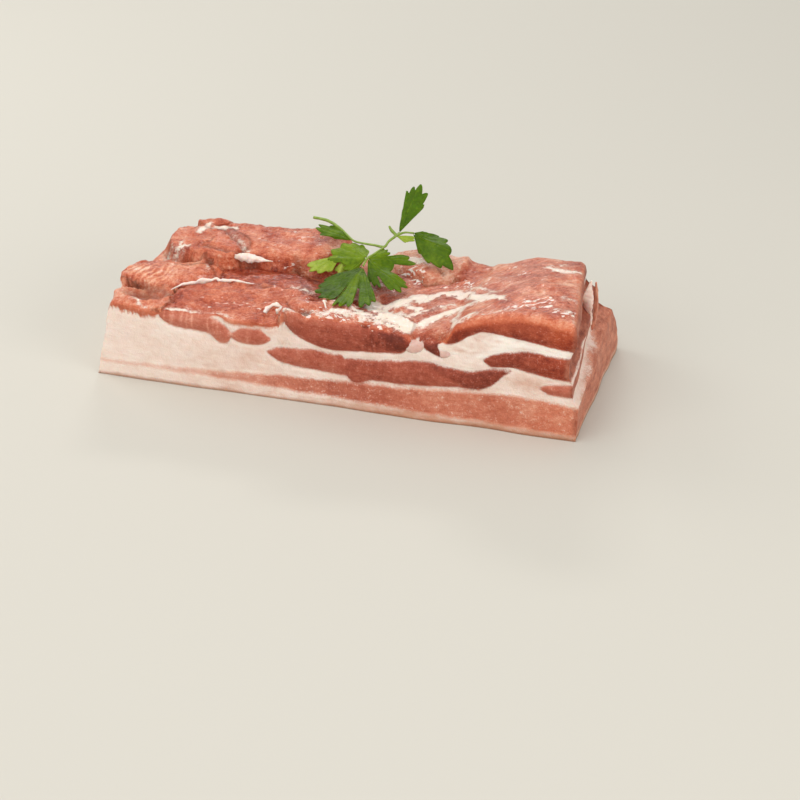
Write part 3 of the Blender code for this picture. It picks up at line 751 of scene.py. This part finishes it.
# A leaf is a fan of lobes from its base. A lobe's tips are the ends of its teeth, from side to side;
# core is how far out, as a share, it hangs together with its neighbours; light runs from 0, dark green,
# to 1, yellow green, and holds the lobe's own green together with painted light and shade for how it faces.
LEAVES = {
    "leaf_back_left": Leaf((-9.0, 19.0, 57.2), (0.1, -0.7, 1.0), [
        Lobe([(-22, 27.6, 60), (-29.5, 27, 60), (-30.3, 24.4, 59), (-26.5, 19.8, 58), (-19.5, 19.6, 57)],
             0.8, 0.35)]),
    "leaf_left": Leaf((2.0, 5.2, 55.4), (0.0, -0.3, 1.0), [
        Lobe([(0.3, 13.4, 56), (-3.5, 17.7, 56.5), (-7.9, 17.2, 57), (-13.3, 15.6, 57), (-17.8, 10.5, 55.5),
              (-17.5, 3.4, 54)], 0.75, 0.55),
        Lobe([(-8.6, 0.8, 49.5), (-5.2, -1.6, 48.5), (-3.2, 0.6, 49)], 0.8, 0.45)]),
    "leaf_pale": Leaf((-12.0, 6.0, 54.0), (0.0, -0.4, 1.0), [
        Lobe([(-27.8, 1.8, 50.2), (-25, -3.2, 49.3), (-19.8, -3.9, 48.8), (-14.9, -1.8, 49)], 0.75, 0.85)]),
    "leaf_pale_small": Leaf((-9.6, 4.6, 52.8), (0.0, -0.4, 1.0), [
        Lobe([(-13.2, 1.4, 48.4), (-10.6, -0.4, 47.8), (-8.0, 2.0, 48.6)], 0.8, 1.0)]),
    "leaf_front": Leaf((1.9, -0.6, 53.5), (0.0, -0.2, 1.0), [
        Lobe([(-15, -10.1, 50), (-16, -16.6, 49.2), (-15.2, -24.6, 49), (-10.8, -32, 49.3),
              (-6.6, -32.9, 49.5)], 0.50, 0.22),
        Lobe([(-2.0, -38.4, 50.2), (1.2, -37.6, 50), (5.2, -36, 50)], 0.50, 0.42),
        Lobe([(10.6, -34.2, 49.6), (14.3, -31.6, 49), (15.2, -25.6, 49)], 0.74, 0.32)]),
    "leaf_right": Leaf((2.9, 4.7, 55.2), (0.1, -0.3, 1.0), [
        Lobe([(8.3, 15.2, 57), (10.4, 14.3, 57), (12.2, 12.6, 56.5)], 0.6, 0.45),
        Lobe([(20.9, 15.6, 54), (25.4, 12.2, 52)], 0.55, 0.38),
        Lobe([(24.6, -3.4, 49.3), (26.6, -7.4, 48.8), (24.4, -12.6, 48.6), (19.6, -11.2, 48.8)], 0.66, 0.40),
        Lobe([(13.6, -10.4, 48.6), (10.2, -9.6, 48.6), (6.9, -7.3, 49)], 0.66, 0.28)]),
    "leaf_far_right": Leaf((19.6, 28.0, 60.6), (0.3, -0.6, 1.0), [
        Lobe([(24.4, 31, 61), (31.1, 31.6, 60), (37.3, 29, 59), (40.4, 22.9, 57.5), (44.6, 11.9, 52),
              (37.2, 13.4, 51.4), (30.3, 15.2, 52), (25.6, 21, 54)], 0.85, 0.30)]),
    "leaf_bract": Leaf((12.8, 21.0, 61.5), (0.2, -0.7, 1.0), [
        Lobe([(21.3, 25.0, 60.2), (21.8, 23.2, 59.2), (18.3, 20.2, 59.5)], 0.8, 0.85)]),
    "leaf_high": Leaf((13.3, 25.2, 61.2), (-0.5, -1.0, 0.25), [
        Lobe([(12.9, 31.2, 71.5), (13.3, 35.8, 79.3), (16.9, 37.2, 81.5), (20.5, 38.0, 83.0),
              (24.2, 35.7, 79), (23.0, 32.4, 73.4)], 0.8, 0.30)]),
}
BLADE = 0.35  # thickness of a leaf
BLADE_CLEARANCE = 1.0  # least height of a leaf over the meat
DEGREES_PER_COLUMN = 0.8
BLADE_ROWS = 14
TOOTH_DEPTH = 0.12
LOBE_MARGIN = 0.42  # how far a lobe reaches beyond its outer teeth, in spacings between teeth
SWEEP = 0.98  # the share of that margin that the blade keeps at its two ends
TOOTH_FOLD, LOBE_FOLD = 0.20, 0.10  # how steeply a blade falls from its side ribs and main ribs
BLADE_WAVE = 0.8
CURL = 1.3  # above 1 a blade bends more towards its tips
VEIN_WIDTH = 0.35


def lobe_reach(lobe, angles, bearing, distance):
    """How far a lobe reaches along each ray, nothing where it doesn't, and where it ends."""
    margin = LOBE_MARGIN * (bearing[-1] - bearing[0]) / (len(bearing) - 1)
    along = np.interp(angles, bearing, np.arange(len(bearing)))
    teeth = 1.0 - TOOTH_DEPTH * (1.0 - np.abs(np.cos(math.pi * along)))
    beyond = np.maximum(bearing[0] - angles, angles - bearing[-1]) / margin
    shoulder = np.sqrt(1.0 - np.clip(beyond, 0.0, 1.0) ** 2)
    reach = np.interp(angles, bearing, distance) * across(lobe.core, teeth, shoulder)
    return np.where(beyond < 1.0, reach, 0.0), margin


def blade_mesh(leaf, seed):
    """A closed thin blade fanned out from the leaf's base, and the numbers its material reads."""
    up = unit(leaf.up)
    base = np.array(leaf.base, float)
    tips = np.array([tip for lobe in leaf.lobes for tip in lobe.tips], float) - base
    ahead = unit(tips.mean(axis=0) - tips.mean(axis=0) @ up * up)
    side = np.cross(up, ahead)
    bearing = np.degrees(np.arctan2(tips @ side, tips @ ahead))
    flat = np.hypot(tips @ side, tips @ ahead)
    height = tips @ up
    owner = np.repeat(np.arange(len(leaf.lobes)), [len(lobe.tips) for lobe in leaf.lobes])
    order = np.argsort(bearing)
    bearing, flat, height, owner = bearing[order], flat[order], height[order], owner[order]
    own = [owner == number for number in range(len(leaf.lobes))]
    ends = [lobe_reach(lobe, bearing, bearing[mine], flat[mine])[1] for lobe, mine in zip(leaf.lobes, own)]
    first, last = bearing[0] - SWEEP * ends[owner[0]], bearing[-1] + SWEEP * ends[owner[-1]]
    angles = np.linspace(first, last, int((last - first) / DEGREES_PER_COLUMN) + 1)
    lobes = [lobe_reach(lobe, angles, bearing[mine], flat[mine])[0] for lobe, mine in zip(leaf.lobes, own)]
    web = np.interp(angles, bearing, flat) * min(lobe.core for lobe in leaf.lobes)
    reach = np.maximum(np.max(lobes, axis=0), web)
    out = np.maximum(reach[:, None] * np.linspace(0.05, 1.0, BLADE_ROWS), 0.5)
    ray = np.radians(angles)[:, None]
    a, b = out * np.cos(ray), out * np.sin(ray)
    far = out / np.interp(angles, bearing, flat)[:, None]
    rise = np.interp(angles, bearing, height)[:, None] * far**CURL
    nearest = np.abs(angles[:, None] - bearing).min(axis=1)
    from_rib = np.radians(nearest)[:, None] * out
    middles = np.array([bearing[mine].mean() for mine in own])
    from_middle = np.radians(np.abs(angles[:, None] - middles).min(axis=1))[:, None] * out
    rise -= TOOTH_FOLD * from_rib + LOBE_FOLD * from_middle
    rise += BLADE_WAVE * noise(a, b, 0.0, 9.0, seed) * np.clip(out / 6.0, 0.0, 1.0)
    side_vein = 0.6 * swell(from_rib, 0.0, VEIN_WIDTH) * np.clip(far, 0, 1)
    vein = np.maximum(swell(from_middle, 0.0, VEIN_WIDTH), side_vein)
    middle = base + a[..., None] * ahead + b[..., None] * side + (rise - 0.10 * vein)[..., None] * up
    lowest = top_height(middle[..., 0], middle[..., 1]) + BLADE_CLEARANCE
    middle[..., 2] = np.maximum(middle[..., 2], lowest)
    points = np.concatenate([middle + up * BLADE / 2, middle - up * BLADE / 2]).reshape(-1, 3)
    columns, rows = out.shape

    def corner(i, j, below):
        return (i + columns * below) * rows + j

    faces = []
    for i, j in itertools.product(range(columns - 1), range(rows - 1)):
        ring = ((i, j), (i, j + 1), (i + 1, j + 1), (i + 1, j))
        faces.append([corner(*place, 0) for place in ring])
        faces.append([corner(*place, 1) for place in reversed(ring)])
    rim = [(0, j) for j in range(rows - 1)] + [(i, rows - 1) for i in range(columns - 1)]
    rim += [(columns - 1, j) for j in range(rows - 1, 0, -1)] + [(i, 0) for i in range(columns - 1, 0, -1)]
    for here, after in zip(rim, rim[1:] + rim[:1]):
        faces.append([corner(*here, 0), corner(*here, 1), corner(*after, 1), corner(*after, 0)])
    # Each lobe's green with its painted light and shade, blended from lobe to lobe.
    light = np.array([leaf.lobes[number].light for number in owner])
    shade = np.interp(angles, bearing, light)[:, None] + 0.0 * out
    return points, faces, {"light": np.tile(shade.ravel(), 2), "vein": np.tile(vein.ravel(), 2)}


STEMS = {
    "stem_main": ([(-33.3, 30.9, 61.5), (-25.1, 29.8, 61), (-16.8, 25, 59.5), (-8.7, 18.4, 57.5),
                   (-3.5, 17.6, 57), (2.6, 17, 57), (8.1, 16.2, 57.2), (9.8, 18.4, 59.4), (12.8, 21, 61.6),
                   (13.3, 24.6, 61.4)], [0.75, 0.8, 0.6, 0.5, 0.6, 0.65, 0.6]),
    "stem_leaves": ([(8.1, 16.2, 57.2), (5.2, 10, 56.2), (2.6, 4.8, 55.4), (1.9, -0.4, 53.7)],
                    [0.5, 0.5, 0.6, 0.5]),
    "stem_right": ([(12.8, 21, 61.6), (16, 25.2, 61.8), (20, 27.8, 60.8)], [0.7, 0.5, 0.5]),
    "stem_stub": ([(8.4, 24.1, 65), (9.6, 23.5, 63.2), (12.9, 21.2, 61.6)], [0.45, 0.85, 0.8]),
}


def make_parsley(blade_finish, stem_finish):
    made = []
    for seed, (name, leaf) in enumerate(LEAVES.items(), 60):
        points, faces, numbers = blade_mesh(leaf, seed)
        piece = new_mesh_object(name, points, faces, numbers)
        piece.data.materials.append(blade_finish)
        made.append(piece)
    for name, (points, radii) in STEMS.items():
        piece = new_mesh_object(name, *strand_mesh(points, radii, radii, 0.8, 12, 0.10))
        piece.data.materials.append(stem_finish)
        made.append(piece)
    for piece in made:
        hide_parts("parsley_sprig")
        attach(piece, "root")


# ---- materials


def colour(red, green, blue):
    """A shader colour from the everyday 0 to 255 scale."""
    shares = np.array([red, green, blue]) / 255.0
    linear = np.where(shares <= 0.04045, shares / 12.92, ((shares + 0.055) / 1.055) ** 2.4)
    return (*map(float, linear), 1.0)


class Value:
    """A value in a material's node tree, which + * and / join to others."""

    def __init__(self, nodes, socket):
        self.nodes, self.socket = nodes, socket

    def __add__(self, other):
        return self.nodes.maths("ADD", self, other)

    def __mul__(self, other):
        return self.nodes.maths("MULTIPLY", self, other)

    def __truediv__(self, other):
        return self.nodes.maths("DIVIDE", self, other)


class Nodes:
    """A short way to write one material's node tree."""

    def __init__(self, name):
        self.material = bpy.data.materials.new(name)
        self.material.use_nodes = True
        self.tree = self.material.node_tree
        self.shader = self.tree.nodes["Principled BSDF"]

    def join(self, socket, value):
        if isinstance(value, Value):
            self.tree.links.new(value.socket, socket)
        else:
            socket.default_value = value

    def add(self, kind, inputs, output=0, **settings):
        """A new node's output; inputs give its values by socket."""
        node = self.tree.nodes.new(kind)
        for name, value in settings.items():
            setattr(node, name, value)
        for name, value in inputs.items():
            self.join(node.inputs[name], value)
        return Value(self, node.outputs[output])

    def attribute(self, name, vector=False):
        return self.add("ShaderNodeAttribute", {}, "Vector" if vector else "Fac", attribute_name=name)

    def place(self):
        """The place on the object, in millimetres."""
        return self.scaled(self.add("ShaderNodeTexCoord", {}, "Object"), (1 / MM, 1 / MM, 1 / MM))

    def scaled(self, vector, scale):
        return self.add("ShaderNodeVectorMath", {0: vector, 1: scale}, operation="MULTIPLY")

    def maths(self, operation, first, second):
        return self.add("ShaderNodeMath", {0: first, 1: second}, operation=operation)

    def noise(self, vector, size, detail=2.0, roughness=0.55):
        """Noise around 0, from about -1 to 1, with lumps of this size in the vector's unit."""
        inputs = {"Vector": vector, "Scale": 1.0 / size, "Detail": detail, "Roughness": roughness}
        return self.add("ShaderNodeTexNoise", inputs, "Fac") * 4.0 + -2.0

    def rise(self, value, start, end):
        """0 below start and 1 above end."""
        inputs = {"Value": value, "From Min": start, "From Max": end}
        return self.add("ShaderNodeMapRange", inputs, "Result", interpolation_type="SMOOTHSTEP")

    def ramp(self, value, stops):
        node = self.tree.nodes.new("ShaderNodeValToRGB")
        self.join(node.inputs["Fac"], value)
        elements = node.color_ramp.elements
        while len(elements) < len(stops):
            elements.new(0.5)
        for element, (at, shade) in zip(elements, stops):
            element.position = at
            element.color = colour(*shade)
        return Value(self, node.outputs["Color"])

    def mix(self, share, first, second):
        return self.add("ShaderNodeMix", {0: share, 6: first, 7: second}, 2, data_type="RGBA")

    def blend(self, share, first, second):
        return self.add("ShaderNodeMix", {0: share, 2: first, 3: second}, data_type="FLOAT")

    def bump(self, height_mm):
        return self.add("ShaderNodeBump", {"Distance": MM, "Height": height_mm}, "Normal")

    def finish(self, **sockets):
        for name, value in sockets.items():
            self.join(self.shader.inputs[name.replace("_", " ").title().replace("Ior", "IOR")], value)
        return self.material


ROSE_LEAN = [(0.0, (90, 32, 18)), (0.2, (128, 53, 35)), (0.4, (169, 84, 63)), (0.6, (194, 115, 92)),
             (0.8, (216, 153, 131)), (1.0, (239, 197, 175))]
ORANGE_LEAN = [(0.0, (96, 28, 10)), (0.2, (140, 48, 24)), (0.4, (180, 82, 50)), (0.6, (207, 116, 82)),
               (0.8, (225, 155, 122)), (1.0, (242, 198, 170))]
FAT_COLOURS = [(0.0, (206, 156, 132)), (0.5, (235, 213, 200)), (1.0, (250, 239, 230))]
WHITE = colour(246, 228, 213)
# Dark red-brown for painted shade in the top's creases and hollows, and for a seam line on the cut face.
PAINTED_SHADE_AND_SEAM = colour(104, 38, 18)
SKIN = colour(172, 112, 78)
DRIED_LEAN = [(0.0, (92, 40, 28)), (0.3, (146, 78, 58)), (0.55, (194, 122, 96)), (0.8, (220, 166, 140)),
              (1.0, (236, 202, 180))]
# The colour of the painted highlight flecks.
GLINT = colour(250, 238, 228)
MEAT_RADIUS = (1.0, 0.36, 0.22)  # how far red, green and blue light spread in the meat


def meat_material():
    nodes = Nodes("meat")
    read, rise = nodes.attribute, nodes.rise
    place = nodes.place()
    open_top = read("open_top")
    on_top = nodes.maths("GREATER_THAN", open_top, 0.5)
    grain = nodes.mix(on_top, place, read("grain", vector=True))

    def along_grain(stretch, size, detail, roughness=0.55):
        return nodes.noise(nodes.scaled(grain, (stretch, 1.0, 1.0)), size, detail, roughness)

    def over(wall, top):
        """One value on the walls and another on the top."""
        return nodes.blend(open_top, wall, top)

    fibres = along_grain(0.34, 0.8, 3.0)
    strands = along_grain(0.38, 2.0, 2.0)
    long_fibres = along_grain(0.09, 1.4, 3.0)
    fine, small, broad = (nodes.noise(place, size, 3.0) for size in (0.7, 2.4, 11.0))

    lean, ragged = read("lean"), read("ragged")
    wander = ragged * (fine * 0.5 + small * 0.5)
    in_lean = rise((lean + wander) / (ragged * 0.5 + 0.42), -1.0, 1.0)
    flecks = rise(small * 0.7 + fine * 0.9, 0.35, 1.2) * read("specks")
    in_lean = in_lean * (flecks * -0.55 + 1.0) * (read("veil") * -1.0 + 1.0)

    # Where the top carries painted sheen; it also evens the fine grain there.
    painted_sheen_share = read("painted_sheen")
    grainy = painted_sheen_share * -0.04 + 0.13
    streaks = fibres * 0.55 + strands * 0.45
    tone = (read("tone") + rise(lean, 1.6, 0.2) * 0.10 + long_fibres * painted_sheen_share * 0.15
            + streaks * over(0.10, 0.19) + broad * over(0.11, 0.22)
            + fine * over(0.07, grainy) + small * over(0.08, grainy))
    lean_shade = nodes.mix(read("warm"), nodes.ramp(tone, ROSE_LEAN), nodes.ramp(tone, ORANGE_LEAN))
    fascia = rise(lean, -2.4, -0.7) * (broad * 0.14 + 0.10)
    fat_tone = read("fat") + fascia + broad * 0.12 + small * 0.07 + strands * over(0.10, 0.02)
    shade = nodes.mix(in_lean, nodes.ramp(fat_tone, FAT_COLOURS), lean_shade)

    white = read("white") + small * 1.1 + strands * 0.9 + fine * 0.9
    film = rise(white, -0.7, 1.0)
    shade = nodes.mix(rise(white, -2.4, 0.6) * 0.24 + film * 0.78, shade, WHITE)
    # Painted sheen: pale streaks along the grain, mixed towards white.
    painted_sheen = rise(long_fibres * 0.9 + fine * 0.4, 0.35, 0.95)
    shade = nodes.mix(painted_sheen * painted_sheen_share * 0.45, shade, WHITE)
    # Painted highlights: small pale flecks along the grain where the glint share is set.
    shine = read("glint")
    glint = rise(along_grain(0.36, 1.3, 1.0, 0.5) + shine * 0.70, 0.92, 1.06)
    strength = rise(shine, 0.02, 0.20) * (shine * 0.45 + 0.5)
    shade = nodes.mix(glint * strength, shade, GLINT)
    runs = nodes.noise(nodes.scaled(place, (1.0, 0.3, 0.6)), 2.2, 3.0, 0.6)
    dried_tone = read("dried") + runs * 0.19 + small * 0.08
    shade = nodes.mix(read("dry") * (in_lean * 0.74 + 0.16), shade, nodes.ramp(dried_tone, DRIED_LEAN))
    # Painted shade in the top's creases, dents and hollows, and a dark seam line in one lens on the cut
    # face.
    shade = nodes.mix(read("painted_shade_and_seam") * 0.62, shade, PAINTED_SHADE_AND_SEAM)
    shade = nodes.mix(read("skin") * 0.7, shade, SKIN)

    height = (fibres * in_lean * over(0.06, 0.15) + fine * 0.09 + small * over(0.10, 0.19) + film * 0.25
              + strands * over(0.04, 0.14))
    rough = over(0.42, 0.30) + small * 0.05 + read("dry") * 0.1
    glaze = nodes.bump(along_grain(0.25, 1.5, 2.0) * 0.11 + nodes.noise(place, 1.2, 1.0) * 0.05)
    return nodes.finish(base_color=shade, roughness=rough, normal=nodes.bump(height), subsurface_weight=0.25,
                        subsurface_radius=MEAT_RADIUS, subsurface_scale=0.0022, ior=1.40,
                        specular_ior_level=0.30, coat_weight=over(0.04, 0.27), coat_roughness=0.07,
                        coat_normal=glaze)


def mottled_material(name, stretch, size, contrast, middle, colours, roughness, relief, clear, reach):
    """Soft lumps of tone, stretched along some axes; clear is how much light passes through, for about
    the distance reach."""
    nodes = Nodes(name)
    lumps = nodes.noise(nodes.scaled(nodes.place(), stretch), size, 3.0)
    shade = nodes.ramp(lumps * contrast + middle, colours)
    return nodes.finish(base_color=shade, roughness=roughness, normal=nodes.bump(lumps * relief),
                        subsurface_weight=clear, subsurface_radius=MEAT_RADIUS, subsurface_scale=reach)


EVEN = (1.0, 1.0, 1.0)
FILM_COLOURS = [(0.0, (222, 178, 160)), (0.5, (244, 218, 206)), (1.0, (252, 240, 232))]
CARTILAGE_COLOURS = [(0.0, (190, 142, 126)), (0.5, (214, 176, 164)), (1.0, (234, 208, 198))]
STRAND_LOOKS = {
    "fat": ("white_fat", EVEN, 2.5, 0.2, 0.75, FAT_COLOURS, 0.35, 0.15, 0.3, 0.002),
    "film": ("membrane", (0.3, 0.3, 1.0), 1.6, 0.3, 0.5, FILM_COLOURS, 0.4, 0.15, 0.25, 0.002),
    "lean": ("lean_sliver", (1.0, 1.0, 0.4), 1.8, 0.25, 0.56, DRIED_LEAN, 0.42, 0.15, 0.2, 0.0015),
    "cartilage": ("cartilage", EVEN, 2.2, 0.25, 0.5, CARTILAGE_COLOURS, 0.25, 0.1, 0.35, 0.0025),
}

LEAF_COLOURS = [(0.0, (36, 60, 0)), (0.35, (74, 102, 0)), (0.7, (118, 142, 12)), (1.0, (158, 174, 70))]
# A paler blue-green for painted sheen on the leaves.
PAINTED_LEAF_SHEEN = colour(110, 136, 62)


def blade_material():
    nodes = Nodes("parsley_blade")
    place = nodes.place()
    small = nodes.noise(place, 1.6, 3.0)
    broad = nodes.noise(place, 7.0)
    vein = nodes.attribute("vein")
    # The lobes' green carries painted light and shade through the light attribute.
    tone = nodes.attribute("light") + small * 0.09 + broad * 0.14 + vein * 0.10
    # Painted sheen: broad patches mixed towards a paler blue-green.
    shade = nodes.mix(nodes.rise(broad, 0.4, 1.4) * 0.2, nodes.ramp(tone, LEAF_COLOURS), PAINTED_LEAF_SHEEN)
    relief = nodes.bump(vein * -0.25 + small * 0.12 + broad * 0.2)
    return nodes.finish(base_color=shade, roughness=0.45, normal=relief, subsurface_weight=0.2,
                        subsurface_radius=(0.5, 1.0, 0.1), subsurface_scale=0.0015, specular_ior_level=0.15)


def stem_material():
    nodes = Nodes("parsley_stem")
    small = nodes.noise(nodes.place(), 2.0)
    greens = [(0.0, (84, 112, 20)), (0.5, (126, 150, 52)), (1.0, (172, 190, 104))]
    shade = nodes.ramp(small * 0.2 + 0.5, greens)
    return nodes.finish(base_color=shade, roughness=0.35, subsurface_weight=0.2,
                        subsurface_radius=(0.6, 1.0, 0.2), subsurface_scale=0.0015)


def plain_material(name, shade, roughness):
    nodes = Nodes(name)
    return nodes.finish(base_color=colour(*shade), roughness=roughness, specular_ior_level=0.0)


# ---- floor, light and camera


def make_floor():
    bpy.ops.mesh.primitive_plane_add(size=4.0)
    floor = bpy.context.object
    floor.name = "floor"
    floor.data.materials.append(plain_material("pale_floor", (204, 201, 192), 0.7))
    return floor


def add_softbox(name, place, target, size, power, shade):
    light = bpy.data.lights.new(name, "AREA")
    light.shape = "RECTANGLE"
    light.size, light.size_y = size
    light.energy = power
    light.color = shade
    lamp = bpy.data.objects.new(name, light)
    lamp.location = place
    lamp.rotation_euler = (Vector(target) - Vector(place)).to_track_quat("-Z", "Y").to_euler()
    bpy.context.scene.collection.objects.link(lamp)


def light_scene():
    world = bpy.data.worlds.new("studio")
    world.use_nodes = True
    backdrop = world.node_tree.nodes["Background"]
    backdrop.inputs["Color"].default_value = (1.0, 0.985, 0.96, 1.0)
    backdrop.inputs["Strength"].default_value = 0.60
    bpy.context.scene.world = world
    middle = (0.0, 0.0, 0.03)
    add_softbox("overhead", (-0.15, -0.22, 1.06), middle, (0.9, 0.6), 3.0, (1.0, 0.985, 0.96))
    add_softbox("sheen", (-0.35, 1.32, 0.86), middle, (0.55, 0.16), 5.0, (1.0, 0.99, 0.97))
    add_softbox("fill", (-0.60, -1.15, 0.75), middle, (1.2, 0.8), 6.2, (1.0, 0.975, 0.95))
    add_softbox("right_fill", (1.20, -0.60, 0.60), middle, (0.9, 0.7), 7.8, (1.0, 0.985, 0.96))
    add_softbox("left_glow", (-0.80, 0.25, 0.55), (-0.25, 0.05, 0.0), (0.5, 0.5), 1.9, (1.0, 0.985, 0.96))


VIEW_AZIMUTH, VIEW_ELEVATION = math.radians(15.4), math.radians(31.0)
VIEW_DISTANCE = 0.799
VIEW_TARGET = Vector((0.03825, -0.0642, 0.02))
LENS = 77.5


def add_camera():
    back = Vector((math.sin(VIEW_AZIMUTH) * math.cos(VIEW_ELEVATION),
                   -math.cos(VIEW_AZIMUTH) * math.cos(VIEW_ELEVATION), math.sin(VIEW_ELEVATION)))
    camera = bpy.data.objects.new("camera", bpy.data.cameras.new("camera"))
    camera.data.lens = LENS
    camera.location = VIEW_TARGET + back * VIEW_DISTANCE
    camera.rotation_euler = (-back).to_track_quat("-Z", "Y").to_euler()
    bpy.context.scene.collection.objects.link(camera)
    bpy.context.scene.camera = camera


# ---- the whole part


def main():
    slab = make_slab()
    slab.data.materials.append(meat_material())
    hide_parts("pork_belly_slab")
    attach(slab, "root")
    make_strands({kind: mottled_material(*look) for kind, look in STRAND_LOOKS.items()})
    make_parsley(blade_material(), stem_material())
    make_floor()
    light_scene()
    add_camera()
    bpy.context.scene.view_settings.view_transform = "Standard"


main()
